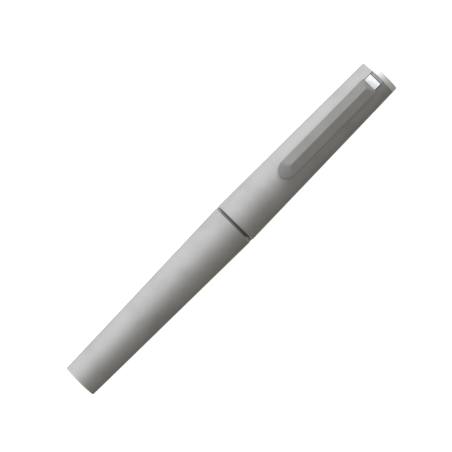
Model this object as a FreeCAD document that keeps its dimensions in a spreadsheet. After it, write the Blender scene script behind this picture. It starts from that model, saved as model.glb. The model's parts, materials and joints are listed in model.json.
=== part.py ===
import FreeCAD, Part
import os
import re
import Sketcher

# A capped technical pen, lying along X: the tail at -X, the cap's end disc at +X and the clip on top (+Z).
# Stations are distances along the pen from the face of the tail, radii are from the pen's long axis.
# The origin is under the middle of the pen, at the height of the cap lip's lowest point.

SIZES = [
    ("pen_length", 135.0),

    ("barrel_end", 68.4), ("tail_radius", 5.91), ("barrel_front_radius", 7.465), ("barrel_wall", 1.1),
    ("tail_plug_radius", 5.0), ("tail_plug_depth", 3.0), ("tail_rounding", 0.3),
    ("bush_start", 59.0), ("bush_outer_radius", 6.55), ("bush_bore", 5.55),
    ("thread_pitch", 1.0), ("thread_depth", 0.22), ("thread_count", 6),

    ("ring_start", 68.45), ("ring_end", 68.9), ("ring_bore", 5.65), ("ring_radius", 7.36),

    ("section_start", 59.5), ("spigot_radius", 5.47), ("socket_radius", 4.5), ("socket_depth", 7.0),
    ("flange_start", 68.95), ("flange_end", 69.5), ("flange_radius", 7.32),
    ("seat_end", 77.0), ("seat_radius", 6.15), ("snap_start", 73.0), ("snap_end", 74.2),
    ("snap_floor", 5.75), ("core_start", 79.0), ("core_end", 99.0), ("core_radius_back", 5.05),
    ("core_radius_front", 4.0), ("section_end", 104.0), ("feed_bore", 3.35), ("nipple_bore", 2.4),
    ("seal_ring_station", 67.6), ("seal_ring_radius", 5.1), ("seal_ring_wire", 0.34),

    ("sleeve_radius_back", 5.95), ("sleeve_radius_front", 4.8), ("rib_count", 9), ("rib_depth", 0.3),
    ("width_ring_start", 100.2), ("width_ring_end", 102.6), ("width_ring_radius", 4.6),
    ("nose_radius", 4.15),

    ("collar_end", 107.0), ("collar_radius", 4.3), ("collar_tooth", 0.35), ("collar_teeth", 12),
    ("collar_spigot", 100.4), ("point_shank", 1.9), ("cone_radius", 3.3), ("cone_end", 116.0),
    ("cone_tip_radius", 1.0), ("cone_bore", 0.6),
    ("tube_start", 114.5), ("tube_step", 117.2), ("tube_end", 119.6), ("writing_radius", 0.35),
    ("writing_bore", 0.24),

    ("nipple_start", 60.0), ("feed_start", 71.0), ("feed_end", 100.0), ("feed_core", 2.2),
    ("fin_pitch", 1.5), ("fin_gap", 0.8), ("fin_count", 15), ("weight_bore", 1.45),
    ("weight_start", 89.0), ("weight_end", 96.0), ("weight_radius", 1.3), ("wire_radius", 0.17),
    ("wire_end", 119.75), ("wire_bore", 0.45), ("plug_start", 83.0), ("plug_end", 85.5),

    ("cartridge_start", 11.0), ("cartridge_shoulder", 56.5), ("cartridge_end", 66.0),
    ("cartridge_radius", 4.3), ("cartridge_wall", 0.8), ("neck_radius", 3.3), ("neck_bore", 2.45),
    ("clamp_start", 60.5), ("clamp_end", 64.0),

    ("snap_ring_inner", 5.8), ("snap_ring_outer", 6.19), ("snap_ring_play", 0.1), ("snap_ring_gap", 3.0),

    ("cap_start", 69.55), ("cap_end", 133.1), ("cap_lip_radius", 7.49), ("cap_end_radius", 6.53),
    ("cap_wall", 0.9), ("lip_bush_end", 79.6), ("lip_bush_radius", 6.85), ("lip_bore", 6.25),
    ("lip_groove_play", 0.25), ("lip_groove_depth", 0.2),
    ("slot_start", 128.9), ("slot_width", 4.9),
    ("liner_start", 103.5), ("liner_end", 125.3), ("liner_radius", 5.4), ("liner_mouth", 4.5),
    ("liner_bore", 4.8), ("liner_step", 112.0), ("liner_flange", 2.0),
    ("cup_start", 107.1), ("cup_end", 122.0), ("cup_radius", 4.3), ("cup_flange", 4.65),
    ("cup_bore", 3.6), ("cup_floor", 121.2), ("cup_play", 0.1), ("pad_start", 120.2),
    ("seal_coil_radius", 3.8), ("seal_coil_wire", 0.22), ("seal_coil_turns", 3),

    ("carrier_end", 132.3), ("pocket_start", 126.6), ("pocket_floor", -3.0),
    ("tongue_start", 132.2), ("tongue_end", 133.05), ("tongue_width", 4.45), ("tongue_top", 6.0),
    ("pivot_station", 130.55), ("pivot_height", 2.6), ("pin_radius", 0.8), ("pin_length", 8.9),
    ("pin_play", 0.03), ("finial_chamfer", 0.3), ("finial_spigot", 0.7), ("finial_spigot_wall", 0.6),

    ("clip_tip", 89.5), ("ridge_start", 93.4), ("ridge_end", 127.67), ("clip_end", 129.13),
    ("clip_half_width", 2.95), ("clip_side", 0.9), ("clip_ridge", 1.7), ("clip_gap", 0.5),
    ("tip_round", 2.6), ("channel_start", 117.6), ("channel_depth", 0.55), ("channel_play", 0.05),
    ("foot_start", 92.6), ("foot_length", 2.6), ("foot_width", 3.0), ("foot_gap", 0.12),
    ("lever_width", 4.4), ("lever_start", 118.0), ("leg_start", 129.17), ("leg_end", 131.77),
    ("root_rise", 0.4), ("leg_drop", 1.4), ("arm_start", 130.0),
    ("arm_end", 131.3), ("arm_drop", 4.4), ("rivet_radius", 0.6), ("rivet_first", 120.5), ("rivet_pitch", 5.0),
    ("rivet_head", 1.0), ("rivet_head_height", 0.2), ("rivet_depth", 0.5),
    ("clip_coil_radius", 0.85), ("clip_coil_wire", 0.17), ("clip_coil_turns", 6),
    ("clip_coil_height", -0.9), ("clip_coil_end", 129.93),
]

AXIS_X = "H_Axis"
VECTOR = FreeCAD.Vector

doc = FreeCAD.newDocument("technical_pen")
sheet = doc.addObject("Spreadsheet::Sheet", "sizes")
for row, (alias, value) in enumerate(SIZES, start=1):
    sheet.set(f"A{row}", alias)
    sheet.set(f"B{row}", str(value))
    sheet.setAlias(f"B{row}", alias)
doc.recompute()

pieces = []


# ---- helpers ---------------------------------------------------------------------------------------------

def from_sheet(expression):
    """The same expression with every size's name pointing at its cell in the sheet."""
    return re.sub(r"[a-z]\w*", lambda word: "sizes." + word.group(), expression)


def bind(thing, field, expression):
    thing.setExpression(field, from_sheet(expression))


def place(piece, station="0", height="0"):
    """Put a piece's local origin at a station of the pen and at a height over the pen's axis."""
    bind(piece, "Placement.Base.x", f"{station} - pen_length / 2")
    bind(piece, "Placement.Base.z", f"cap_lip_radius + {height}")


def new_body(label, station="0", height="0"):
    body = doc.addObject("PartDesign::Body", label)
    body.Label = label
    place(body, station, height)
    pieces.append(body)
    return body


def new_sketch(body, plane):
    sketch = body.newObject("Sketcher::SketchObject", f"{body.Label}_sketch")
    origin_plane = [item for item in body.Origin.OriginFeatures if item.Role == plane][0]
    sketch.AttachmentSupport = [(origin_plane, "")]
    sketch.MapMode = "FlatFace"
    return sketch


def fix_point(sketch, element, point, across, up):
    """Hold one point of a sketch at (across, up), both given as expressions."""
    for direction, axis, expression in (("DistanceX", -2, across), ("DistanceY", -1, up)):
        if expression == "0":
            sketch.addConstraint(Sketcher.Constraint("PointOnObject", element, point, axis))
        else:
            index = sketch.addConstraint(Sketcher.Constraint(direction, -1, 1, element, point, 1.0))
            bind(sketch, f"Constraints[{index}]", expression)


def outline_sketch(body, plane, corners):
    """A closed outline of straight lines through corners, each a pair of expressions."""
    sketch = new_sketch(body, plane)
    count = len(corners)
    for index in range(count):
        start = VECTOR(index, index * index, 0)
        end = VECTOR((index + 1) % count, ((index + 1) % count) ** 2, 0)
        sketch.addGeometry(Part.LineSegment(start, end), False)
    for index in range(count):
        sketch.addConstraint(Sketcher.Constraint("Coincident", index, 2, (index + 1) % count, 1))
    for index, (across, up) in enumerate(corners):
        fix_point(sketch, index, 1, across, up)
    return sketch


def circle_sketch(body, plane, across, up, radius):
    sketch = new_sketch(body, plane)
    sketch.addGeometry(Part.Circle(VECTOR(1, 1, 0), VECTOR(0, 0, 1), 1.0), False)
    fix_point(sketch, 0, 3, across, up)
    index = sketch.addConstraint(Sketcher.Constraint("Radius", 0, 1.0))
    bind(sketch, f"Constraints[{index}]", radius)
    return sketch


def box_corners(left, right, bottom, top):
    return [(left, bottom), (right, bottom), (right, top), (left, top)]


def turn(body, corners):
    """Add a ring to the body: an outline of (station, radius) turned about the pen's axis."""
    ring = body.newObject("PartDesign::Revolution", f"{body.Label}_turn")
    ring.Profile = outline_sketch(body, "XZ_Plane", corners)
    ring.ReferenceAxis = (ring.Profile[0], [AXIS_X])
    ring.Angle = 360


def turned_body(label, corners):
    body = new_body(label)
    turn(body, corners)
    return body


def groove(body, corners):
    """Cut a ring from the body: an outline of (station, radius) turned about the pen's axis."""
    cut = body.newObject("PartDesign::Groove", f"{body.Label}_groove")
    cut.Profile = outline_sketch(body, "XZ_Plane", corners)
    cut.ReferenceAxis = (cut.Profile[0], [AXIS_X])
    cut.Angle = 360
    return cut


def repeat_along(body, feature, pitch, count):
    """Repeat a feature along the pen."""
    pattern = body.newObject("PartDesign::LinearPattern", f"{body.Label}_rows")
    pattern.Originals = [feature]
    pattern.Direction = (feature.Profile[0], [AXIS_X])
    bind(pattern, "Length", f"{pitch} * ({count} - 1)")
    bind(pattern, "Occurrences", count)
    body.Tip = pattern


def pad(body, sketch, length, symmetric=False):
    block = body.newObject("PartDesign::Pad", f"{body.Label}_pad")
    block.Profile = sketch
    block.SideType = "Symmetric" if symmetric else "One side"
    bind(block, "Length", length)
    return block


def pocket(body, sketch, length, symmetric=False, reverse=False):
    """Cut a pocket, and stop if it took nothing away."""
    doc.recompute()
    before = body.Shape.Volume
    cut = body.newObject("PartDesign::Pocket", f"{body.Label}_pocket")
    cut.Profile = sketch
    cut.SideType = "Symmetric" if symmetric else "One side"
    cut.Reversed = reverse
    bind(cut, "Length", length)
    doc.recompute()
    if body.Shape.Volume > before - 1e-4:
        raise RuntimeError(f"a pocket of {body.Label} cuts nothing")
    return cut


def coil_spring(label, radius, wire, turns, start, end, height="0"):
    """A coil spring along the pen, its end turns standing on the stations start and end."""
    helix = doc.addObject("Part::Helix", f"{label}_line")
    bind(helix, "Radius", radius)
    bind(helix, "Height", f"{end} - {start} - 2 * {wire}")
    bind(helix, "Pitch", f"({end} - {start} - 2 * {wire}) / {turns}")
    section = doc.addObject("Part::Circle", f"{label}_wire")
    bind(section, "Radius", wire)
    section.Placement.Rotation = FreeCAD.Rotation(VECTOR(1, 0, 0), 90)
    bind(section, "Placement.Base.x", radius)
    spring = doc.addObject("Part::Sweep", label)
    spring.Label = label
    spring.Sections = [section]
    spring.Spine = (helix, [])
    spring.Solid = True
    spring.Frenet = True
    spring.Placement.Rotation = FreeCAD.Rotation(VECTOR(0, 1, 0), 90)
    place(spring, f"{start} + {wire}", height)
    pieces.append(spring)


def between(station, first, last, first_radius, last_radius):
    """The radius of a straight taper at a station."""
    return f"({first_radius} + ({last_radius} - {first_radius}) * ({station} - {first}) / ({last} - {first}))"


def barrel_outside(station):
    return between(station, "0", "barrel_end", "tail_radius", "barrel_front_radius")


def cap_outside(station):
    return between(station, "cap_start", "cap_end", "cap_lip_radius", "cap_end_radius")


def cap_bore(station):
    return f"({cap_outside(station)} - cap_wall)"


# ---- barrel: tapered metal tube, tail plug, threaded bush ------------------------------------------------

def barrel_shell():
    """The tapered tube of the barrel, bored for the cartridge and counterbored for the bush."""
    turned_body("barrel_shell", [
        ("0", "tail_plug_radius"),
        ("0", "tail_radius - tail_rounding / 2"),
        ("tail_rounding / 4", "tail_radius - tail_rounding / 6"),
        ("tail_rounding", barrel_outside("tail_rounding")),
        ("barrel_end", "barrel_front_radius"),
        ("barrel_end", "bush_outer_radius"),
        ("bush_start", "bush_outer_radius"),
        ("bush_start", f"{barrel_outside('bush_start')} - barrel_wall"),
        ("tail_plug_depth", f"{barrel_outside('tail_plug_depth')} - barrel_wall"),
        ("tail_plug_depth", "tail_plug_radius"),
    ])


def tail_plug():
    """The flat disc that closes the tail, pressed into the tube, with a short hollow stub."""
    turned_body("tail_plug", [
        ("0", "0"),
        ("0", "tail_plug_radius"),
        ("tail_plug_depth", "tail_plug_radius"),
        ("tail_plug_depth", "tail_plug_radius - 1.2"),
        ("tail_plug_depth / 2", "tail_plug_radius - 1.2"),
        ("tail_plug_depth / 2", "0"),
    ])


def barrel_bush():
    """The brass bush in the mouth of the barrel, with the inside thread."""
    body = turned_body("barrel_bush", box_corners("bush_start", "barrel_end", "bush_bore", "bush_outer_radius"))
    first = "bush_start + thread_pitch"
    root = groove(body, [
        (first, "bush_bore - 0.01"),
        (f"{first} + thread_pitch / 2", "bush_bore - 0.01"),
        (f"{first} + thread_pitch / 4", "bush_bore + thread_depth"),
    ])
    repeat_along(body, root, "thread_pitch", "thread_count")


def centre_ring():
    """The bright trim ring between barrel and cap, free to turn on the section's spigot."""
    turned_body("centre_ring", [
        ("ring_start", "ring_bore"),
        ("ring_start", "ring_radius - 0.05"),
        ("ring_start + 0.05", "ring_radius"),
        ("ring_end - 0.05", "ring_radius"),
        ("ring_end", "ring_radius - 0.05"),
        ("ring_end", "ring_bore"),
    ])


# ---- section: the black core that holds nib, cartridge, barrel and cap ------------------------------------

def section_body():
    socket_floor = "section_start + socket_depth"
    groove_half = "(seal_ring_wire + 0.06)"
    groove_floor = "seal_ring_radius - seal_ring_wire"
    body = turned_body("section_body", [
        ("section_start", "socket_radius"),
        ("section_start", "spigot_radius - 0.2"),
        ("section_start + 0.2", "spigot_radius"),
        (f"seal_ring_station - {groove_half}", "spigot_radius"),
        (f"seal_ring_station - {groove_half}", groove_floor),
        (f"seal_ring_station + {groove_half}", groove_floor),
        (f"seal_ring_station + {groove_half}", "spigot_radius"),
        ("flange_start", "spigot_radius"),
        ("flange_start", "flange_radius"),
        ("flange_end", "flange_radius"),
        ("flange_end", "seat_radius"),
        ("snap_start", "seat_radius"),
        ("snap_start", "snap_floor"),
        ("snap_end", "snap_floor"),
        ("snap_end", "seat_radius"),
        ("seat_end", "seat_radius"),
        ("core_start - 0.6", "sleeve_radius_back"),
        ("core_start", "sleeve_radius_back"),
        ("core_start", "core_radius_back"),
        ("core_end", "core_radius_front"),
        ("core_end", "sleeve_radius_front - 0.1"),
        ("width_ring_start", "width_ring_radius"),
        ("width_ring_start", "nose_radius"),
        ("width_ring_end", "nose_radius"),
        ("width_ring_end", "width_ring_radius"),
        ("section_end", "width_ring_radius - 0.2"),
        ("section_end", "feed_bore"),
        (f"{socket_floor} + 1.5", "feed_bore"),
        (f"{socket_floor} + 1.5", "nipple_bore"),
        (socket_floor, "nipple_bore"),
        (socket_floor, "socket_radius"),
    ])
    first = "section_start + thread_pitch / 2"
    root = groove(body, [
        (first, "spigot_radius + 0.01"),
        (f"{first} + thread_pitch / 2", "spigot_radius + 0.01"),
        (f"{first} + thread_pitch / 4", "spigot_radius - thread_depth"),
    ])
    repeat_along(body, root, "thread_pitch", "thread_count")


def section_o_ring():
    """The rubber ring that stops the barrel from working loose."""
    ring = doc.addObject("Part::Torus", "section_o_ring")
    ring.Label = "section_o_ring"
    bind(ring, "Radius1", "seal_ring_radius")
    bind(ring, "Radius2", "seal_ring_wire")
    ring.Placement.Rotation = FreeCAD.Rotation(VECTOR(0, 1, 0), 90)
    place(ring, "seal_ring_station")
    pieces.append(ring)


def grip_sleeve():
    """The rubber grip, with ribs that follow its taper."""
    def outside(station):
        return between(station, "core_start", "core_end", "sleeve_radius_back", "sleeve_radius_front")

    rib_total = int(dict(SIZES)["rib_count"])
    corners = [("core_end", "core_radius_front"), ("core_start", "core_radius_back")]
    for rib in range(rib_total):
        rise = f"core_start + (core_end - core_start) * ({rib} + 0.08) / rib_count"
        fall = f"core_start + (core_end - core_start) * ({rib} + 0.62) / rib_count"
        corners += [
            (f"core_start + (core_end - core_start) * {rib} / rib_count" if rib else "core_start",
             f"{outside(rise)} - rib_depth"),
            (rise, outside(rise)),
            (fall, outside(fall)),
            (f"{fall} + 0.15", f"{outside(fall)} - rib_depth"),
        ]
    corners.append(("core_end", "sleeve_radius_front - rib_depth"))
    turned_body("grip_sleeve", corners)


def line_width_ring():
    """The coloured ring whose colour tells the line width."""
    turned_body("line_width_ring",
                box_corners("width_ring_start", "width_ring_end", "nose_radius", "width_ring_radius"))


# ---- nib unit --------------------------------------------------------------------------------------------

def nib_collar():
    """The toothed collar that the nib key grips, with a spigot pressed into the section."""
    body = turned_body("nib_collar", [
        ("collar_spigot", "point_shank"),
        ("collar_spigot", "feed_bore"),
        ("section_end", "feed_bore"),
        ("section_end", "collar_radius"),
        ("collar_end - 0.4", "collar_radius"),
        ("collar_end", "collar_radius - 0.4"),
        ("collar_end", "point_shank"),
    ])
    tooth = pocket(body, outline_sketch(body, "YZ_Plane", box_corners(
        "0 - 0.45", "0.45", "collar_radius - collar_tooth", "collar_radius + 1")), "pen_length", reverse=True)
    ring = body.newObject("PartDesign::PolarPattern", "nib_collar_teeth")
    ring.Originals = [tooth]
    ring.Axis = (tooth.Profile[0], ["N_Axis"])
    ring.Angle = 360
    bind(ring, "Occurrences", "collar_teeth")
    body.Tip = ring


def point_body():
    """The steel cone in front of the collar; its shank is held in the collar."""
    turned_body("point_body", [
        ("collar_spigot", "cone_bore"),
        ("collar_spigot", "point_shank"),
        ("collar_end", "point_shank"),
        ("collar_end", "cone_radius"),
        ("collar_end + 0.6", "cone_radius"),
        ("cone_end", "cone_tip_radius"),
        ("cone_end", "cone_bore"),
    ])


def point_tube():
    """The stepped tube that draws the line."""
    turned_body("point_tube", [
        ("tube_start", "writing_bore"),
        ("tube_start", "cone_bore"),
        ("tube_step", "cone_bore"),
        ("tube_step + 0.3", "writing_radius"),
        ("tube_end", "writing_radius"),
        ("tube_end", "writing_bore"),
    ])


def ink_feed():
    """The finned pressure-balancing feed, with the nipple that opens the cartridge."""
    first_fin = "feed_start + 1.5"
    body = turned_body("ink_feed", [
        ("nipple_start", "nipple_bore - 1.2"),
        ("nipple_start", "nipple_bore - 0.3"),
        ("nipple_start + 0.6", "nipple_bore"),
        ("feed_start", "nipple_bore"),
        ("feed_start", "feed_bore"),
        ("feed_end", "feed_bore"),
        ("feed_end", "wire_bore"),
        ("weight_end + 0.4", "wire_bore"),
        ("weight_end + 0.4", "weight_bore"),
        ("plug_start", "weight_bore"),
        ("plug_start", "nipple_bore - 1.2"),
    ])
    gap = groove(body, box_corners(first_fin, f"{first_fin} + fin_gap", "feed_core", "feed_bore + 0.5"))
    repeat_along(body, gap, "fin_pitch", "fin_count")


def weight_plug():
    """The bored plug that keeps the drop weight in the feed."""
    turned_body("weight_plug", box_corners("plug_start", "plug_end", "wire_bore", "weight_bore"))


def drop_weight():
    """The loose weight that rattles when the pen is shaken and drives the cleaning wire."""
    turned_body("drop_weight", [
        ("weight_start", "0"),
        ("weight_start", "weight_radius - 0.3"),
        ("weight_start + 0.3", "weight_radius"),
        ("weight_end - 0.3", "weight_radius"),
        ("weight_end", "weight_radius - 0.3"),
        ("weight_end", "0"),
    ])


def cleaning_wire():
    """The wire that keeps the writing tube open."""
    turned_body("cleaning_wire", [
        ("weight_end", "0"),
        ("weight_end", "wire_radius"),
        ("wire_end", "wire_radius"),
        ("wire_end", "0"),
    ])


# ---- cartridge -------------------------------------------------------------------------------------------

def ink_cartridge():
    """The refillable ink cartridge, closed at the back and pushed onto the feed's nipple."""
    turned_body("ink_cartridge", [
        ("cartridge_start", "0"),
        ("cartridge_start", "cartridge_radius - 1"),
        ("cartridge_start + 0.3", "cartridge_radius - 0.3"),
        ("cartridge_start + 1", "cartridge_radius"),
        ("cartridge_shoulder", "cartridge_radius"),
        ("cartridge_shoulder + 1.5", "neck_radius"),
        ("cartridge_end", "neck_radius"),
        ("cartridge_end", "neck_bore"),
        ("cartridge_shoulder + 1.5", "neck_bore"),
        ("cartridge_shoulder", "cartridge_radius - cartridge_wall"),
        ("cartridge_start + 1", "cartridge_radius - cartridge_wall"),
        ("cartridge_start + 1", "0"),
    ])


def cartridge_clamp():
    """The stiff ring that squeezes the cartridge's neck onto the nipple."""
    turned_body("cartridge_clamp", box_corners("clamp_start", "clamp_end", "neck_radius", "cartridge_radius"))


# ---- cap -------------------------------------------------------------------------------------------------

def snap_ring():
    """The split spring ring that holds the cap on the section."""
    body = turned_body("snap_ring", box_corners(
        "snap_start + snap_ring_play", "snap_end - snap_ring_play", "snap_ring_inner", "snap_ring_outer"))
    pocket(body, outline_sketch(body, "XY_Plane", box_corners(
        "snap_start - 1", "snap_end + 1", "0 - snap_ring_gap / 2", "snap_ring_gap / 2")),
        "cap_lip_radius")


def cap_shell():
    """The tapered metal tube of the cap, with the clip's slot at the top of its end."""
    body = turned_body("cap_shell", [
        ("cap_start", "lip_bush_radius"),
        ("cap_start", "cap_lip_radius - 0.08"),
        ("cap_start + 0.08", cap_outside("cap_start + 0.08")),
        ("cap_end", "cap_end_radius"),
        ("cap_end", cap_bore("cap_end")),
        ("lip_bush_end", cap_bore("lip_bush_end")),
        ("lip_bush_end", "lip_bush_radius"),
    ])
    pocket(body, outline_sketch(body, "XY_Plane", box_corners(
        "slot_start", "cap_end + 1", "0 - slot_width / 2", "slot_width / 2")),
        "cap_lip_radius", reverse=True)


def cap_lip_bush():
    """The smooth bush in the cap's mouth, with the groove that the snap ring clicks into."""
    turned_body("cap_lip_bush", [
        ("cap_start", "lip_bush_radius"),
        ("cap_start", "lip_bore + 0.2"),
        ("cap_start + 0.3", "lip_bore"),
        ("snap_start - lip_groove_play", "lip_bore"),
        ("snap_start - lip_groove_play + 0.15", "lip_bore + lip_groove_depth"),
        ("snap_end + lip_groove_play - 0.15", "lip_bore + lip_groove_depth"),
        ("snap_end + lip_groove_play", "lip_bore"),
        ("lip_bush_end", "lip_bore"),
        ("lip_bush_end", "lip_bush_radius"),
    ])


def inner_cap():
    """The liner in which the seal cup slides; its back flange is pressed into the cap."""
    flange_start = "liner_end - liner_flange"
    turned_body("inner_cap", [
        ("liner_start", "liner_mouth"),
        ("liner_start", "liner_radius - 0.3"),
        ("liner_start + 0.5", "liner_radius"),
        (flange_start, "liner_radius"),
        (flange_start, cap_bore(flange_start)),
        ("liner_end", cap_bore("liner_end")),
        ("liner_end", "liner_bore"),
        ("liner_step", "liner_bore"),
        ("liner_step", "liner_mouth"),
    ])


def seal_cup():
    """The sprung cup that closes round the nib and keeps the ink from drying."""
    turned_body("seal_cup", [
        ("cup_start", "cup_bore"),
        ("cup_start", "cup_radius"),
        ("liner_step + cup_play", "cup_radius"),
        ("liner_step + cup_play", "cup_flange"),
        ("cup_end", "cup_flange"),
        ("cup_end", "0"),
        ("cup_floor", "0"),
        ("cup_floor", "cup_bore"),
    ])


def seal_pad():
    """The soft pad that the writing tube faces."""
    turned_body("seal_pad", [
        ("pad_start", "0"),
        ("pad_start", "cup_bore"),
        ("cup_floor", "cup_bore"),
        ("cup_floor", "0"),
    ])


def clip_carrier():
    """The block in the end of the cap: a pocket in which the clip's lever tilts, and a tongue in the slot."""
    body = turned_body("clip_carrier", [
        ("liner_end", "0"),
        ("liner_end", cap_bore("liner_end")),
        ("carrier_end", cap_bore("carrier_end")),
        ("carrier_end", "0"),
    ])
    pocket(body, outline_sketch(body, "XZ_Plane", box_corners(
        "pocket_start", "cap_end", "pocket_floor", "cap_lip_radius")),
        "slot_width", symmetric=True)
    pocket(body, circle_sketch(body, "XZ_Plane", "pivot_station", "pivot_height", "pin_radius"),
           "pin_length", symmetric=True)
    pad(body, outline_sketch(body, "XZ_Plane", box_corners(
        "tongue_start", "tongue_end", "pocket_floor - 0.5", "tongue_top")), "tongue_width", symmetric=True)


def clip_pin():
    """The pivot pin of the clip, crosswise in the carrier."""
    body = new_body("clip_pin")
    pad(body, circle_sketch(body, "XZ_Plane", "pivot_station", "pivot_height", "pin_radius"),
        "pin_length", symmetric=True)


def finial():
    """The polished end disc with its chamfered rim, and a short ring pressed into the cap."""
    spigot_start = "cap_end - finial_spigot"
    spigot_radius = cap_bore("cap_end")
    body = turned_body("finial", [
        ("pen_length", "0"),
        ("pen_length", "cap_end_radius - finial_chamfer"),
        ("pen_length - finial_chamfer", "cap_end_radius"),
        ("cap_end", "cap_end_radius"),
        ("cap_end", spigot_radius),
        (spigot_start, spigot_radius),
        (spigot_start, f"{spigot_radius} - finial_spigot_wall"),
        ("cap_end", f"{spigot_radius} - finial_spigot_wall"),
        ("cap_end", "0"),
    ])
    pocket(body, outline_sketch(body, "XY_Plane", box_corners(
        f"{spigot_start} - 1", "cap_end", "0 - slot_width / 2", "slot_width / 2")),
        "cap_lip_radius", reverse=True)


# ---- clip ------------------------------------------------------------------------------------------------

# The clip's pieces share one local frame: its origin is the pivot and it leans with the cap's taper.
BAR_FLOOR = f"({cap_outside('pivot_station')} + clip_gap - pivot_height)"
TAPER_ANGLE = "atan((sizes.cap_lip_radius - sizes.cap_end_radius) / (sizes.cap_end - sizes.cap_start))"
BAR_SHIFT = {"XY_Plane": ("x", "z"), "XZ_Plane": ("x", "y"), "YZ_Plane": ("z", "y")}


def clip_body(label):
    body = new_body(label, "pivot_station", "pivot_height")
    body.Placement.Rotation = FreeCAD.Rotation(VECTOR(0, 1, 0), 1.0)
    body.setExpression("Placement.Rotation.Angle", TAPER_ANGLE)
    return body


def on_bar(sketch, plane):
    """Move a sketch so that its zero is under the tip end of the ridge, on the underside of the bar."""
    along, up = BAR_SHIFT[plane]
    bind(sketch, f"AttachmentOffset.Base.{along}", "ridge_start - pivot_station")
    bind(sketch, f"AttachmentOffset.Base.{up}", BAR_FLOOR)
    return sketch


def bar_outline(body, plane, corners):
    return on_bar(outline_sketch(body, plane, corners), plane)


def rivet_circles(body, radius):
    """Two circles, one for each rivet, on the underside of the bar."""
    sketch = new_sketch(body, "XY_Plane")
    for index in range(2):
        sketch.addGeometry(Part.Circle(VECTOR(5 * index, 1, 0), VECTOR(0, 0, 1), 1.0), False)
        fix_point(sketch, index, 3, f"rivet_first + {index} * rivet_pitch - ridge_start", "0")
        size = sketch.addConstraint(Sketcher.Constraint("Radius", index, 1.0))
        bind(sketch, f"Constraints[{size}]", radius)
    return on_bar(sketch, "XY_Plane")


def upright_edges(body, station):
    """The names of the body's edges that stand upright at a station of its local frame."""
    names = []
    for number, edge in enumerate(body.Shape.Edges, start=1):
        ends = [body.Placement.inverse().multVec(vertex.Point) for vertex in edge.Vertexes]
        if all(abs(end.x - station) < 1e-3 for end in ends) and abs(ends[0].y - ends[1].y) < 1e-3:
            names.append(f"Edge{number}")
    return names


def clip_bar():
    """The roof-shaped bar of the clip: hipped at the top end, rounded with a conical hip at the tip."""
    body = clip_body("clip_bar")
    bar_length = "(clip_end - ridge_start)"
    tip_length = "(ridge_start - clip_tip)"
    roof = pad(body, bar_outline(body, "YZ_Plane", [
        ("0 - clip_half_width", "0"),
        ("clip_half_width", "0"),
        ("clip_half_width", "clip_side"),
        ("0", "clip_ridge"),
        ("0 - clip_half_width", "clip_side"),
    ]), bar_length)
    roof.SideType = "Two sides"
    bind(roof, "Length2", tip_length)
    doc.recompute()
    rounding = body.newObject("PartDesign::Fillet", "clip_bar_tip")
    rounding.Base = (roof, upright_edges(body, sheet.clip_tip - sheet.pivot_station))
    bind(rounding, "Radius", "tip_round")
    hip = body.newObject("PartDesign::Groove", "clip_bar_hip")
    hip.Profile = bar_outline(body, "XZ_Plane", [
        ("0", "clip_ridge"),
        (f"0 - 2 * {tip_length}", "2 * clip_side - clip_ridge"),
        (f"0 - 2 * {tip_length}", "clip_ridge + 1"),
        ("0", "clip_ridge + 1"),
    ])
    hip.ReferenceAxis = (hip.Profile[0], ["V_Axis"])
    hip.Angle = 180
    hip.Midplane = True
    pocket(body, bar_outline(body, "XZ_Plane", [
        ("ridge_end - ridge_start", "clip_ridge"),
        (bar_length, "clip_side"),
        (bar_length, "clip_ridge + 1"),
        ("ridge_end - ridge_start", "clip_ridge + 1"),
    ]), "4 * clip_half_width", symmetric=True)
    pocket(body, bar_outline(body, "XY_Plane", box_corners(
        "channel_start - ridge_start", f"{bar_length} + 1",
        "0 - lever_width / 2 - channel_play", "lever_width / 2 + channel_play")),
        "channel_depth", reverse=True)
    pocket(body, rivet_circles(body, "rivet_radius"), "channel_depth + rivet_depth", reverse=True)
    foot = pad(body, bar_outline(body, "XY_Plane", box_corners(
        "foot_start - ridge_start", "foot_start + foot_length - ridge_start",
        "0 - foot_width / 2", "foot_width / 2")), "clip_gap - foot_gap")
    foot.Reversed = True


def clip_lever():
    """The polished lever: a plate under the bar, the root in the slot and the arm that the spring pushes."""
    body = clip_body("clip_lever")
    plate_top = f"{BAR_FLOOR} + channel_depth"
    pad(body, outline_sketch(body, "XZ_Plane", [
        ("lever_start - pivot_station", BAR_FLOOR),
        ("leg_start - pivot_station", BAR_FLOOR),
        ("leg_start - pivot_station", "0 - leg_drop"),
        ("arm_start - pivot_station", "0 - leg_drop - 0.4"),
        ("arm_start - pivot_station", "0 - arm_drop"),
        ("arm_end - pivot_station", "0 - arm_drop"),
        ("arm_end - pivot_station", "0 - leg_drop - 0.4"),
        ("leg_end - pivot_station", "0 - leg_drop"),
        ("leg_end - pivot_station", f"{plate_top} + root_rise"),
        ("leg_start - pivot_station", f"{plate_top} + root_rise"),
        ("leg_start - pivot_station", plate_top),
        ("lever_start - pivot_station", plate_top),
    ]), "lever_width", symmetric=True)
    pocket(body, circle_sketch(body, "XZ_Plane", "0", "0", "pin_radius + pin_play"),
           "lever_width + 1", symmetric=True)
    pocket(body, rivet_circles(body, "rivet_radius"), "channel_depth + 1", symmetric=True)


def clip_rivets():
    """The two rivets that hold the bar on the lever: shanks in the bar, flat heads under the plate."""
    body = clip_body("clip_rivets")
    body.AllowCompound = True
    pad(body, rivet_circles(body, "rivet_radius"), "channel_depth + rivet_depth")
    heads = pad(body, rivet_circles(body, "rivet_head"), "rivet_head_height")
    heads.Reversed = True


# ---- build and write -------------------------------------------------------------------------------------

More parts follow.
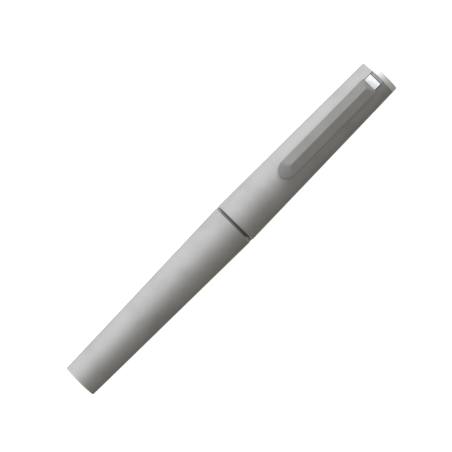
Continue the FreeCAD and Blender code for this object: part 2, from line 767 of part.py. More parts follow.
def write_parts():
    doc.recompute()
    for thing in doc.Objects:
        if "Invalid" in thing.State or "Error" in thing.State:
            raise RuntimeError(f"{thing.Label} failed to recompute: {thing.State}")
    os.makedirs("parts", exist_ok=True)
    for piece in pieces:
        if piece.Shape.isNull() or not piece.Shape.isValid():
            raise RuntimeError(f"{piece.Label} has no valid shape")
        piece.Shape.exportStep(f"parts/{piece.Label}.step")


for make in (barrel_shell, tail_plug, barrel_bush, centre_ring, section_body, section_o_ring, grip_sleeve,
             line_width_ring, nib_collar, point_body, point_tube, ink_feed, weight_plug, drop_weight,
             cleaning_wire, ink_cartridge, cartridge_clamp, snap_ring, cap_shell, cap_lip_bush, inner_cap,
             seal_cup, seal_pad, clip_carrier, clip_pin, finial, clip_bar, clip_lever, clip_rivets):
    make()
coil_spring("seal_spring", "seal_coil_radius", "seal_coil_wire", "seal_coil_turns", "cup_end", "liner_end")
coil_spring("clip_spring", "clip_coil_radius", "clip_coil_wire", "clip_coil_turns", "pocket_start",
            "clip_coil_end", "clip_coil_height")
write_parts()
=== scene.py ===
import json
import math

import bmesh
import bpy
from mathutils import Matrix, Vector


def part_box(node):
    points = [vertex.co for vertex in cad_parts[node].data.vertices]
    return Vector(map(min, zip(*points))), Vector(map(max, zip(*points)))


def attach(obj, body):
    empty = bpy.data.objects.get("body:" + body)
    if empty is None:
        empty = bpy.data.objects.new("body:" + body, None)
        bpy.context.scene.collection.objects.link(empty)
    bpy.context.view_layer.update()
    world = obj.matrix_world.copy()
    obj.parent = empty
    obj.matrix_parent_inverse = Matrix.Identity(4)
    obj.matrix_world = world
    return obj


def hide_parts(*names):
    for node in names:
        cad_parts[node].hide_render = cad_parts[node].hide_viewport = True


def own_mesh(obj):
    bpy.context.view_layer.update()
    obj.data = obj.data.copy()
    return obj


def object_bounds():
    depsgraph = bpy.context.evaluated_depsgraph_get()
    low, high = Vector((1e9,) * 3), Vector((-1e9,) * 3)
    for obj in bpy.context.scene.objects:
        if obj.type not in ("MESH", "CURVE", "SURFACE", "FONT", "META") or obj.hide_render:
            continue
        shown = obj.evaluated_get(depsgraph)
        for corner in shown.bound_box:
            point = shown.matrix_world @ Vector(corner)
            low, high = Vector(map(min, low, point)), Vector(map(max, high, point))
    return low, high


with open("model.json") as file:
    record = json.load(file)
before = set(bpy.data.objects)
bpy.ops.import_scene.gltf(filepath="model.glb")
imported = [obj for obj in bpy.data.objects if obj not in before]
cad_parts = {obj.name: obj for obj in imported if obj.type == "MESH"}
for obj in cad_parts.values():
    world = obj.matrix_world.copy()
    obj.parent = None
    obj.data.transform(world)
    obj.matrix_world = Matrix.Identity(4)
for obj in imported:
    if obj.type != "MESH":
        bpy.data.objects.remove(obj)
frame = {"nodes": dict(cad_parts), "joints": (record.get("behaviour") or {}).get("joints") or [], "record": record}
CAD_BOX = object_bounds()

# A capped technical pen: tail at -X, the cap's end disc at +X, the clip on top. Metres.

MM = 0.001
AXIS = sum(corner.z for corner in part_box("finial")) / 2      # height of the pen's long axis
PEN_END = CAD_BOX[1][0]
SEGMENTS = 160                                               # columns round a turned piece
CUT_LEAN = 0.0371                                            # angle from straight down where outlines are cut
FLATNESS = 0.012 * MM                                        # a point nearer to its line is left out


# ---- reading the frame -----------------------------------------------------------------------------------

def cad_outline(node, lean=CUT_LEAN):
    """The outline of a turned CAD node as ordered (x, radius) pairs, cut at an angle from straight down."""
    down = Vector((0.0, math.sin(lean), -math.cos(lean)))
    across = Vector((0.0, math.cos(lean), math.sin(lean)))
    centre = Vector((0.0, 0.0, AXIS))
    bm = bmesh.new()
    bm.from_mesh(frame["nodes"][node].data)
    bmesh.ops.remove_doubles(bm, verts=bm.verts, dist=0.001 * MM)
    for normal in (down, across):
        everything = bm.verts[:] + bm.edges[:] + bm.faces[:]
        cut = bmesh.ops.bisect_plane(bm, geom=everything, dist=1e-8, plane_co=centre, plane_no=normal)
    near = {}
    for item in cut["geom_cut"]:
        if not isinstance(item, bmesh.types.BMEdge):
            continue
        if all((vertex.co - centre).dot(down) > -1e-7 for vertex in item.verts):
            first, second = item.verts
            near.setdefault(first, []).append(second)
            near.setdefault(second, []).append(first)
    ends = [vertex for vertex in near if len(near[vertex]) == 1]
    order = [ends[0] if ends else min(near, key=lambda vertex: vertex.co.x)]
    seen = {order[0]}
    while True:
        ahead = [vertex for vertex in near[order[-1]] if vertex not in seen]
        if not ahead:
            break
        order.append(ahead[0])
        seen.add(ahead[0])
    if len(order) != len(near):
        raise RuntimeError(f"{node}: its cut has {len(near)} points, {len(order)} of them in one outline")
    outline = [Vector((vertex.co.x, max(0.0, (vertex.co - centre).dot(down)))) for vertex in order]
    bm.free()
    if ends:
        return thinned(outline)
    far = max(range(len(outline)), key=lambda index: outline[index].x)
    return thinned(outline[:far + 1])[:-1] + thinned(outline[far:] + outline[:1])[:-1]


def thinned(points):
    """The points of an open line that matter: the others lie within FLATNESS of it."""
    if len(points) < 3:
        return points
    start, end = points[0], points[-1]
    along = (end - start).normalized()
    offsets = [abs((point - start).cross(along)) for point in points[1:-1]]
    farthest = max(range(len(offsets)), key=offsets.__getitem__)
    if offsets[farthest] < FLATNESS:
        return [start, end]
    middle = farthest + 1
    return thinned(points[:middle + 1])[:-1] + thinned(points[middle:])


def soften(outline, radius, steps=4, least_turn=0.15):
    """Round an outline's corners, inside the outline. Returns (x, radius, is it on a rounded edge)."""
    closed = outline[0].y > 1e-9 or outline[-1].y > 1e-9
    count = len(outline)
    result = []
    for index in range(count):
        here = outline[index]
        if not closed and index in (0, count - 1):
            result.append((here.x, here.y, 0.0))
            continue
        back = outline[index - 1] - here
        ahead = outline[(index + 1) % count] - here
        turn = math.pi - back.angle(ahead)
        if turn < least_turn:
            result.append((here.x, here.y, 0.0))
            continue
        reach = min(radius, 0.36 * back.length, 0.36 * ahead.length)
        before = here + back.normalized() * reach
        after = here + ahead.normalized() * reach
        hold_before = before + back.normalized() * reach * 0.3
        hold_after = after + ahead.normalized() * reach * 0.3
        result.append((hold_before.x, hold_before.y, 0.0))
        for step in range(steps + 1):
            t = step / steps
            point = before * (1 - t) ** 2 + here * 2 * t * (1 - t) + after * t ** 2
            result.append((point.x, point.y, 1.0))
        result.append((hold_after.x, hold_after.y, 0.0))
    return result


# ---- making meshes ---------------------------------------------------------------------------------------

def link(name, mesh):
    piece = bpy.data.objects.new(name, mesh)
    bpy.context.scene.collection.objects.link(piece)
    return piece


def mesh_piece(name, points, faces, edge_values=None):
    """A smooth-shaded mesh piece, with an optional value from 0 to 1 at each point that marks edges."""
    mesh = bpy.data.meshes.new(name)
    mesh.from_pydata(points, [], faces)
    if edge_values:
        attribute = mesh.attributes.new("edge", "FLOAT", "POINT")
        attribute.data.foreach_set("value", edge_values)
    bm = bmesh.new()
    bm.from_mesh(mesh)
    bmesh.ops.recalc_face_normals(bm, faces=bm.faces)
    bm.to_mesh(mesh)
    bm.free()
    mesh.polygons.foreach_set("use_smooth", [True] * len(mesh.polygons))
    return link(name, mesh)


def lathe(name, outline, segments=SEGMENTS, radius_at=None):
    """Turn a softened outline about the pen's axis. radius_at(x, radius, angle) may reshape it."""
    points = []
    edge_values = []
    rows = []
    for x, radius, edge in outline:
        if radius <= 1e-9:
            rows.append([len(points)])
            points.append((x, 0.0, AXIS))
            edge_values.append(edge)
            continue
        row = []
        for column in range(segments):
            angle = 2 * math.pi * column / segments
            r = radius_at(x, radius, angle) if radius_at else radius
            row.append(len(points))
            points.append((x, r * math.sin(angle), AXIS + r * math.cos(angle)))
            edge_values.append(edge)
        rows.append(row)
    closed = len(rows[0]) > 1
    faces = []
    for index in range(len(rows) if closed else len(rows) - 1):
        low, high = rows[index], rows[(index + 1) % len(rows)]
        for column in range(segments):
            after = (column + 1) % segments
            if len(low) == 1 and len(high) == 1:
                continue
            if len(low) == 1:
                faces.append((low[0], high[column], high[after]))
            elif len(high) == 1:
                faces.append((low[column], high[0], low[after]))
            else:
                faces.append((low[column], high[column], high[after], low[after]))
    return mesh_piece(name, points, faces, edge_values)


def apply_modifiers(piece):
    """Replace the piece's mesh by what its modifiers make of it."""
    graph = bpy.context.evaluated_depsgraph_get()
    mesh = bpy.data.meshes.new_from_object(piece.evaluated_get(graph))
    piece.modifiers.clear()
    piece.data = mesh


def bevel(piece, width, angle_deg=50.0, steps=3, keep_flat=False):
    modifier = piece.modifiers.new("bevel", "BEVEL")
    modifier.width = width
    modifier.segments = steps
    modifier.limit_method = "ANGLE"
    modifier.angle_limit = math.radians(angle_deg)
    modifier.use_clamp_overlap = True
    modifier.harden_normals = keep_flat
    apply_modifiers(piece)


def cut_slot(piece, low, high, edge=0.06 * MM):
    """Cut an upright box out of a piece and break the new edges."""
    corners = [(x, y, z) for x in (low[0], high[0]) for y in (low[1], high[1]) for z in (low[2], high[2])]
    sides = [(0, 1, 3, 2), (4, 6, 7, 5), (0, 4, 5, 1), (2, 3, 7, 6), (0, 2, 6, 4), (1, 5, 7, 3)]
    tool = mesh_piece("slot_tool", corners, sides)
    modifier = piece.modifiers.new("slot", "BOOLEAN")
    modifier.operation = "DIFFERENCE"
    modifier.solver = "EXACT"
    modifier.object = tool
    apply_modifiers(piece)
    bpy.data.objects.remove(tool)
    bevel(piece, edge)
    piece.data.polygons.foreach_set("use_smooth", [True] * len(piece.data.polygons))
    sharp_by_angle(piece)


def sharp_by_angle(piece, angle_deg=35.0):
    bm = bmesh.new()
    bm.from_mesh(piece.data)
    for edge in bm.edges:
        edge.smooth = edge.is_manifold and edge.calc_face_angle(0.0) < math.radians(angle_deg)
    bm.to_mesh(piece.data)
    bm.free()


def bevelled_copy(node, name, width):
    """A copy of a flat-sided CAD node with its edges broken."""
    bm = bmesh.new()
    bm.from_mesh(frame["nodes"][node].data)
    bmesh.ops.remove_doubles(bm, verts=bm.verts, dist=0.002 * MM)
    bmesh.ops.dissolve_limit(bm, angle_limit=math.radians(0.5), verts=bm.verts, edges=bm.edges)
    mesh = bpy.data.meshes.new(name)
    bm.to_mesh(mesh)
    bm.free()
    mesh.polygons.foreach_set("use_smooth", [True] * len(mesh.polygons))
    piece = link(name, mesh)
    bevel(piece, width, angle_deg=30.0, keep_flat=True)
    return piece


def tube_along(name, path, radius, sides=12):
    """A closed tube of round wire along a list of points."""
    points = []
    faces = []
    count = len(path)
    normal = None
    for index, here in enumerate(path):
        ahead = (path[min(index + 1, count - 1)] - path[max(index - 1, 0)]).normalized()
        if normal is None:
            normal = ahead.orthogonal().normalized()
        normal = (normal - ahead * normal.dot(ahead)).normalized()
        across = ahead.cross(normal)
        for side in range(sides):
            angle = 2 * math.pi * side / sides
            points.append(here + (normal * math.cos(angle) + across * math.sin(angle)) * radius)
    for index in range(count - 1):
        for side in range(sides):
            after = (side + 1) % sides
            first, second = index * sides, (index + 1) * sides
            faces.append((first + side, first + after, second + after, second + side))
    faces.append(tuple(range(sides)))
    faces.append(tuple((count - 1) * sides + side for side in range(sides)))
    return mesh_piece(name, points, faces)


# ---- materials -------------------------------------------------------------------------------------------

def ramp_through(nodes, stops):
    """A linear ramp node through (position from 0 to 1, grey or colour) stops."""
    node = nodes.new("ShaderNodeValToRGB")
    elements = node.color_ramp.elements
    while len(elements) < len(stops):
        elements.new(1.0)
    for element, (position, value) in zip(elements, stops):
        element.position = position
        colour = value if isinstance(value, tuple) else (value, value, value)
        element.color = (*colour, 1.0)
    return node


class Shader:
    """A small helper that builds a Principled material from nodes."""

    def __init__(self, name, **settings):
        self.material = bpy.data.materials.new(name)
        self.material.use_nodes = True
        self.nodes = self.material.node_tree.nodes
        self.links = self.material.node_tree.links
        self.surface = self.nodes["Principled BSDF"]
        for socket, value in settings.items():
            self.surface.inputs[socket.replace("_", " ")].default_value = value
        self.place = self.nodes.new("ShaderNodeTexCoord").outputs["Object"]

    def join(self, source, target):
        self.links.new(source, target)

    def stretched(self, x, y, z):
        node = self.nodes.new("ShaderNodeMapping")
        node.inputs["Scale"].default_value = (x, y, z)
        self.join(self.place, node.inputs["Vector"])
        return node.outputs["Vector"]

    def noise(self, size, detail=3.0, place=None):
        """Noise whose features are about size metres across."""
        node = self.nodes.new("ShaderNodeTexNoise")
        node.inputs["Scale"].default_value = 1.0 / size
        node.inputs["Detail"].default_value = detail
        self.join(place or self.place, node.inputs["Vector"])
        return node.outputs["Fac"]

    def ramp(self, factor, stops):
        """A colour ramp through (position, grey or colour) stops."""
        node = ramp_through(self.nodes, stops)
        self.join(factor, node.inputs["Fac"])
        return node.outputs["Color"]

    def spread(self, factor, low, high, from_low=0.3, from_high=0.7):
        node = self.nodes.new("ShaderNodeMapRange")
        for socket, value in zip(("From Min", "From Max", "To Min", "To Max"),
                                 (from_low, from_high, low, high)):
            node.inputs[socket].default_value = value
        self.join(factor, node.inputs["Value"])
        return node.outputs["Result"]

    def mix(self, factor, first, second):
        node = self.nodes.new("ShaderNodeMix")
        node.data_type = "RGBA"
        self.join(factor, node.inputs["Factor"])
        for socket, value in (("A", first), ("B", second)):
            target = [s for s in node.inputs if s.name == socket and s.type == "RGBA"][0]
            if isinstance(value, tuple):
                target.default_value = (*value, 1.0)
            else:
                self.join(value, target)
        return [s for s in node.outputs if s.type == "RGBA"][0]

    def add(self, first, second, weight=1.0):
        node = self.nodes.new("ShaderNodeMath")
        node.operation = "MULTIPLY_ADD"
        self.join(second, node.inputs[0])
        node.inputs[1].default_value = weight
        self.join(first, node.inputs[2])
        return node.outputs[0]

    def edge(self):
        """1 on the rounded edges that the meshes mark, 0 elsewhere."""
        node = self.nodes.new("ShaderNodeAttribute")
        node.attribute_name = "edge"
        return node.outputs["Fac"]

    def bump(self, height, depth, strength=1.0):
        """Bump from a 0 to 1 height that stands depth metres high."""
        node = self.nodes.new("ShaderNodeBump")
        node.inputs["Strength"].default_value = strength
        node.inputs["Distance"].default_value = depth
        self.join(height, node.inputs["Height"])
        self.join(node.outputs["Normal"], self.surface.inputs["Normal"])

    def colour(self, source):
        self.join(source, self.surface.inputs["Base Color"])

    def roughness(self, source):
        self.join(source, self.surface.inputs["Roughness"])


# Little glare at grazing angles.
DULL_RIM = {"Specular_IOR_Level": 0.12, "Specular_Tint": (0.55, 0.55, 0.55, 1.0)}


def blasted_metal(name, tone, roughness):
    """Bead-blasted, anodised metal: half matt, a fine even grain, faint cloudiness, edges rubbed brighter."""
    shader = Shader(name, Metallic=0.5, **DULL_RIM)
    clouds = shader.noise(9 * MM, 2.0)
    grain = shader.noise(0.13 * MM, 2.0)
    bright = tuple(min(1.0, channel * 1.08) for channel in tone)
    dull = tuple(channel * 0.93 for channel in tone)
    rubbed = tuple(min(1.0, channel * 1.35) for channel in tone)
    body = shader.ramp(shader.add(clouds, grain, 1.0), [(0.75, dull), (1.25, bright)])
    shader.colour(shader.mix(shader.edge(), body, rubbed))
    wear = shader.add(grain, clouds, 0.5)
    shader.roughness(shader.spread(wear, roughness - 0.03, roughness + 0.03, 0.5, 1.0))
    shader.bump(grain, 0.012 * MM, 0.6)
    return shader.material


def polished_metal(name, tone, roughness=0.08):
    """Polished plating with faint wipe marks and a little orange peel."""
    shader = Shader(name, Metallic=1.0)
    wipes = shader.noise(0.5 * MM, 3.0, shader.stretched(0.12, 1.0, 1.0))
    peel = shader.noise(1.2 * MM, 1.0)
    shader.colour(shader.ramp(peel, [(0.35, tuple(c * 0.97 for c in tone)), (0.65, tone)]))
    shader.roughness(shader.spread(wipes, roughness - 0.025, roughness + 0.05))
    shader.bump(peel, 0.002 * MM, 0.4)
    return shader.material


def ground_metal(name, tone, roughness):
    """Satin metal, ground lengthwise: long fine scratches and rubbed edges."""
    shader = Shader(name, Metallic=0.5, **DULL_RIM)
    scratches = shader.noise(0.09 * MM, 2.0, shader.stretched(0.03, 1.0, 1.0))
    clouds = shader.noise(6 * MM, 2.0)
    dull = tuple(channel * 0.94 for channel in tone)
    bright = tuple(channel * 1.05 for channel in tone)
    rubbed = tuple(min(1.0, channel * 1.5) for channel in tone)
    body = shader.ramp(shader.add(clouds, scratches, 0.4), [(0.5, dull), (0.9, bright)])
    shader.colour(shader.mix(shader.edge(), body, rubbed))
    shader.roughness(shader.spread(scratches, roughness - 0.05, roughness + 0.05))
    shader.bump(scratches, 0.003 * MM, 0.5)
    return shader.material


def satin_disc(name, tone, roughness):
    """Plated metal, satin, with fine lathe rings round the pen's axis."""
    shader = Shader(name, Metallic=0.6)
    from_axis = shader.nodes.new("ShaderNodeVectorMath")
    from_axis.inputs[1].default_value = (0.0, 0.0, -AXIS)
    shader.join(shader.place, from_axis.inputs[0])
    rings = shader.nodes.new("ShaderNodeTexWave")
    rings.wave_type = "RINGS"
    rings.rings_direction = "X"
    rings.inputs["Scale"].default_value = 0.9 / MM
    rings.inputs["Distortion"].default_value = 0.3
    shader.join(from_axis.outputs[0], rings.inputs["Vector"])
    stain = shader.noise(2.5 * MM, 2.0)
    shader.colour(shader.ramp(stain, [(0.35, tuple(c * 0.96 for c in tone)), (0.65, tone)]))
    shader.roughness(shader.spread(rings.outputs["Fac"], roughness - 0.04, roughness + 0.04, 0.0, 1.0))
    shader.bump(rings.outputs["Fac"], 0.006 * MM, 0.5)
    return shader.material


def turned_metal(name, tone, roughness):
    """Lathe-turned metal: fine rings round the pen's axis."""
    shader = Shader(name, Metallic=1.0)
    rings = shader.noise(0.05 * MM, 1.0, shader.stretched(1.0, 0.004, 0.004))
    stain = shader.noise(3 * MM, 3.0)
    shader.colour(shader.ramp(stain, [(0.3, tuple(c * 0.88 for c in tone)), (0.7, tone)]))
    shader.roughness(shader.spread(rings, roughness - 0.06, roughness + 0.08))
    shader.bump(rings, 0.004 * MM, 0.6)
    return shader.material


def moulded_plastic(name, tone, roughness):
    """Moulded plastic with a fine sparked texture."""
    shader = Shader(name, IOR=1.5)
    grain = shader.noise(0.12 * MM, 2.0)
    clouds = shader.noise(5 * MM, 2.0)
    light = tuple(channel * 1.12 + 0.002 for channel in tone)
    body = shader.ramp(clouds, [(0.35, tone), (0.7, light)])
    shader.colour(shader.mix(shader.edge(), body, tuple(channel * 1.5 + 0.006 for channel in tone)))
    shader.roughness(shader.spread(grain, roughness - 0.07, roughness + 0.07))
    shader.bump(grain, 0.006 * MM, 0.5)
    return shader.material


def soft_rubber(name, tone):
    """Matt rubber with dust in its grain."""
    shader = Shader(name, IOR=1.45)
    grain = shader.noise(0.08 * MM, 3.0)
    dust = shader.noise(1.6 * MM, 4.0)
    shader.colour(shader.ramp(dust, [(0.4, tone), (0.75, tuple(c * 1.6 + 0.006 for c in tone))]))
    shader.roughness(shader.spread(grain, 0.6, 0.82))
    shader.bump(grain, 0.01 * MM, 0.6)
    return shader.material


def clear_plastic(name, tone):
    """Translucent moulded plastic, faintly milky."""
    shader = Shader(name, Transmission_Weight=0.85, IOR=1.49)
    flow = shader.noise(2.5 * MM, 2.0)
    shader.colour(shader.ramp(flow, [(0.3, tuple(c * 0.93 for c in tone)), (0.7, tone)]))
    shader.roughness(shader.spread(flow, 0.14, 0.24))
    shader.bump(flow, 0.01 * MM, 0.3)
    return shader.material


def wet_ink(name):
    shader = Shader(name, Roughness=0.06, IOR=1.36, Coat_Weight=0.6)
    cloud = shader.noise(2 * MM, 3.0)
    shader.colour(shader.ramp(cloud, [(0.3, (0.004, 0.004, 0.006)), (0.7, (0.010, 0.010, 0.016))]))
    shader.bump(cloud, 0.01 * MM, 0.2)
    return shader.material


SHELL = blasted_metal("shell_metal", (0.385, 0.385, 0.387), 0.42)
CLIP = ground_metal("clip_metal", (0.258, 0.258, 0.254), 0.42)
POLISH = polished_metal("trim_metal", (0.86, 0.88, 0.92), 0.20)
END_DISC = satin_disc("disc_metal", (0.86, 0.88, 0.91), 0.45)
# The centre ring's grey is set darker than its metal: painted shade of the groove it sits in.
RING_WITH_PAINTED_SHADE = ground_metal("ring_metal_painted_shade", (0.165, 0.165, 0.165), 0.40)
STEEL = turned_metal("turned_steel", (0.56, 0.56, 0.57), 0.24)
SPRING_STEEL = polished_metal("spring_steel", (0.62, 0.62, 0.63), 0.16)
BRASS = turned_metal("turned_brass", (0.78, 0.57, 0.28), 0.26)
SECTION = moulded_plastic("section_plastic", (0.040, 0.040, 0.041), 0.42)
LINER = moulded_plastic("liner_plastic", (0.42, 0.43, 0.45), 0.45)
WIDTH_COLOUR = moulded_plastic("width_plastic", (0.02, 0.10, 0.38), 0.30)
CLAMP = moulded_plastic("clamp_plastic", (0.75, 0.50, 0.03), 0.32)
RUBBER = soft_rubber("grip_rubber", (0.014, 0.014, 0.015))
CARTRIDGE = clear_plastic("cartridge_plastic", (0.90, 0.92, 0.94))
INK = wet_ink("ink")


def dress(piece, material):
    """Give a piece one material."""
    piece.data.materials.clear()
    piece.data.materials.append(material)
    for polygon in piece.data.polygons:
        polygon.material_index = 0


def body_with(node):
    bodies = frame["record"]["behaviour"]["bodies"]
    return [body for body, members in bodies.items() if node in members][0]


def stand_for(piece, node, material):
    """The piece takes the place of a CAD node, rides on its body and is dressed in the given material."""
    dress(piece, material)
    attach(piece, body_with(node))
    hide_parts(node)
    return piece


def turned_piece(node, material, rounding, segments=SEGMENTS, radius_at=None, lean=CUT_LEAN):
    outline = soften(cad_outline(node, lean), rounding)
    piece = lathe(f"{node}_fine", outline, segments, radius_at)
    return stand_for(piece, node, material)


# ---- turned pieces ---------------------------------------------------------------------------------------

TURNED = [
    # node, material, rounding of its corners
    ("barrel_shell", SHELL, 0.10 * MM),
    ("tail_plug", SHELL, 0.12 * MM),
    ("barrel_bush", BRASS, 0.06 * MM),
    ("centre_ring", RING_WITH_PAINTED_SHADE, 0.05 * MM),
    ("section_o_ring", RUBBER, 0.0),
    ("grip_sleeve", RUBBER, 0.14 * MM),
    ("line_width_ring", WIDTH_COLOUR, 0.12 * MM),
    ("point_body", STEEL, 0.12 * MM),
    ("point_tube", STEEL, 0.05 * MM),
    ("ink_feed", SECTION, 0.06 * MM),
    ("weight_plug", LINER, 0.10 * MM),
    ("drop_weight", STEEL, 0.12 * MM),
    ("cleaning_wire", SPRING_STEEL, 0.04 * MM),
    ("ink_cartridge", CARTRIDGE, 0.25 * MM),
    ("cartridge_clamp", CLAMP, 0.20 * MM),
    ("cap_lip_bush", BRASS, 0.06 * MM),
    ("inner_cap", LINER, 0.15 * MM),
    ("seal_cup", LINER, 0.15 * MM),
    ("seal_pad", RUBBER, 0.15 * MM),
]

for turned_node, turned_material, turned_rounding in TURNED:
    turned_piece(turned_node, turned_material, turned_rounding)


# ---- the section, with a real screw thread ---------------------------------------------------------------

THREAD_PITCH = 1.0 * MM
THREAD_STARTS = 2
THREAD_DEPTH = 0.30 * MM
THREAD_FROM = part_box("section_body")[0].x + 0.45 * MM
THREAD_TO = THREAD_FROM + 6.6 * MM
THREAD_FADE = 0.8 * MM                                         # length over which its ends fade out
SPIGOT_RADIUS = 5.47 * MM


def smooth(t):
    """0 below 0, 1 above 1, and a soft step between."""
    t = max(0.0, min(1.0, t))
    return t * t * (3 - 2 * t)


def even_run(outline, start, end, radius, step):
    """Replace the points of an outline between two stations, near a radius, by evenly spaced ones."""
    run = [index for index, point in enumerate(outline)
           if start < point.x < end and abs(point.y - radius) < 0.4 * MM]
    count = round((end - start) / step)
    fresh = [Vector((start + (end - start) * index / count, radius)) for index in range(count + 1)]
    if outline[run[0] - 1].x > outline[run[-1] + 1].x:
        fresh.reverse()
    return outline[:run[0]] + fresh + outline[run[-1] + 1:]


def thread_radius(x, radius, angle):
    """The spigot's radius with the helix of the thread cut into it."""
    if not THREAD_FROM < x < THREAD_TO or abs(radius - SPIGOT_RADIUS) > 0.05 * MM:
        return radius
    turn = (x / THREAD_PITCH + THREAD_STARTS * angle / (2 * math.pi)) % 1.0
    root = smooth(1.0 - abs(turn - 0.5) / 0.32)
    fade = smooth(min(x - THREAD_FROM, THREAD_TO - x) / THREAD_FADE)
    return radius - THREAD_DEPTH * root * fade


section_outline = even_run(cad_outline("section_body"), THREAD_FROM, THREAD_TO, SPIGOT_RADIUS, 0.05 * MM)
section = lathe("section_body_fine", soften(section_outline, 0.10 * MM), 144, thread_radius)
stand_for(section, "section_body", SECTION)


# ---- the nib's toothed collar ----------------------------------------------------------------------------

TEETH = 12
TOOTH_FLOOR = 3.95 * MM
HALF_TOOTH_GAP = 0.45 * MM / TOOTH_FLOOR                       # as an angle
TOOTH_WALL = 0.035                                             # angle over which a tooth's side rises


def toothed_radius(x, radius, angle):
    """The collar's radius with gaps between its teeth, the same at every x."""
    if radius < TOOTH_FLOOR:
        return radius
    spacing = 2 * math.pi / TEETH
    from_gap = abs((angle + spacing / 2) % spacing - spacing / 2)
    wall = smooth((from_gap - HALF_TOOTH_GAP) / TOOTH_WALL + 0.5)
    return TOOTH_FLOOR + (radius - TOOTH_FLOOR) * wall


turned_piece("nib_collar", SECTION, 0.10 * MM, 480, toothed_radius, lean=math.pi / TEETH)


# ---- pieces with slots -----------------------------------------------------------------------------------

SLOT_WIDTH = 4.9 * MM
CAP_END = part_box("cap_shell")[1].x
SLOT_START = CAP_END - 4.1 * MM
SNAP_GAP = 3.0 * MM
FAR = 10 * MM                                                  # a cut this long passes through any piece

cap = turned_piece("cap_shell", SHELL, 0.08 * MM)
cut_slot(cap, (SLOT_START, -SLOT_WIDTH / 2, AXIS), (PEN_END, SLOT_WIDTH / 2, AXIS + FAR))

end_disc = turned_piece("finial", END_DISC, 0.09 * MM)
cut_slot(end_disc, (SLOT_START, -SLOT_WIDTH / 2, AXIS), (CAP_END, SLOT_WIDTH / 2, AXIS + FAR))

snap = turned_piece("snap_ring", SPRING_STEEL, 0.08 * MM, lean=math.pi + CUT_LEAN)
cut_slot(snap, (0, -SNAP_GAP / 2, AXIS - FAR), (FAR, SNAP_GAP / 2, AXIS))


# ---- the clip --------------------------------------------------------------------------------------------

PIVOT = Vector([joint for joint in frame["joints"] if joint["name"] == "clip_lift"][0]["pos_m"])
OUTSIDE_FROM = 6.4 * MM                                        # points of the cap farther out are its outside
CAP_OUTSIDE = [point for point in cad_outline("cap_shell") if point.y > OUTSIDE_FROM]
CAP_LIP = max(CAP_OUTSIDE, key=lambda point: point.y)
CAP_TIP = max(CAP_OUTSIDE, key=lambda point: point.x)
TAPER = math.atan2(CAP_LIP.y - CAP_TIP.y, CAP_TIP.x - CAP_LIP.x)
BAR_LOW, BAR_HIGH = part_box("clip_bar")
BAR_HALF = (BAR_HIGH.y - BAR_LOW.y) / 2
BAR_LENGTH = 39.63 * MM
TIP_HIP, END_HIP = 4.75 * MM, 1.46 * MM                        # from the tip and the root end to the ridge
TIP_SLOPE = 0.25                                               # of the facet from the ridge to the tip
NOSE = 3.4 * MM                                                # length of the half ellipse that ends the plan
BAR_SIDE = 0.9 * MM                                            # height of the side walls
BAR_RISE = 0.8 * MM                                            # from the side walls up to the ridge
BAR_GAP = 0.5 * MM                                             # between the bar and the cap
CHANNEL_START, CHANNEL_DEPTH, CHANNEL_HALF = 28.1 * MM, 0.55 * MM, 2.25 * MM
FOOT_START, FOOT_END, FOOT_HALF, FOOT_DROP = 3.1 * MM, 5.7 * MM, 1.5 * MM, 0.38 * MM
EDGE_ROUND = 0.13 * MM
TIP_TO_PIVOT = 41.05 * MM
BAR_FLOOR = CAP_LIP.y - (PIVOT.x - CAP_LIP.x) * math.tan(TAPER) + BAR_GAP - (PIVOT.z - AXIS)
BAR_TO_WORLD = (Matrix.Translation(PIVOT) @ Matrix.Rotation(TAPER, 4, "Y")
                @ Matrix.Translation((-TIP_TO_PIVOT, 0, BAR_FLOOR)))


def lower_of(first, second, blend=0.05 * MM):
    """The lower of two heights, rounded where they cross."""
    return (first + second - math.sqrt((first - second) ** 2 + blend ** 2)) / 2


def from_outline(x, y):
    """How far a point is inside the bar's plan outline, whose tip is half an ellipse."""
    if x >= NOSE:
        return min(BAR_HALF - abs(y), BAR_LENGTH - x)
    along, across = 1 - x / NOSE, y / BAR_HALF
    share = math.hypot(along, across)
    return (1 - share) * share / math.hypot(along / NOSE, across / BAR_HALF)


def edge_drop(inside, radius):
    """How far a rounded edge drops at a distance from the outline."""
    if inside >= radius:
        return 0.0
    return radius - math.sqrt(max(0.0, radius ** 2 - (radius - max(0.0, inside)) ** 2))


def bar_top(x, y):
    """Height of the bar's roof, with its hips at both ends and its rounded edge."""
    ridge = BAR_SIDE + BAR_RISE
    soft_y = math.sqrt(y * y + (0.05 * MM) ** 2)
    roof = ridge - BAR_RISE * soft_y / BAR_HALF
    root_hip = BAR_SIDE + BAR_RISE * (BAR_LENGTH - x) / END_HIP
    height = lower_of(roof, root_hip)
    tip_facet = ridge - TIP_SLOPE * (TIP_HIP - x) - BAR_RISE * (y / BAR_HALF) ** 2 / 2
    height = lower_of(height, tip_facet)
    return height - edge_drop(from_outline(x, y), EDGE_ROUND)


def bar_bottom(x, y):
    """Height of the bar's underside, with its foot at the tip and the channel over the lever."""
    lift = edge_drop(from_outline(x, y), EDGE_ROUND * 0.7)
    foot = smooth(min(x - FOOT_START, FOOT_END - x, FOOT_HALF - abs(y)) / (0.25 * MM))
    channel = CHANNEL_DEPTH if x > CHANNEL_START and abs(y) < CHANNEL_HALF else 0.0
    return lift - FOOT_DROP * foot + channel


def bar_rows():
    """Stations along the bar, close together wherever its shape turns."""
    near_edge = [0.015, 0.04, 0.075, 0.11, 0.16]
    from_tip = [0.002] + near_edge + [0.2 + 0.15 * step for step in range(40)]
    middle = [step * 1.0 for step in range(7, 38)]
    channel = [28.09, 28.11]                                   # either side of the channel's end wall
    from_end = [0] + near_edge + [0.25 + 0.12 * step for step in range(14)]
    stations = {round(value * MM, 8) for value in from_tip + middle + channel}
    stations |= {round(BAR_LENGTH - value * MM, 8) for value in from_end}
    return sorted(stations)


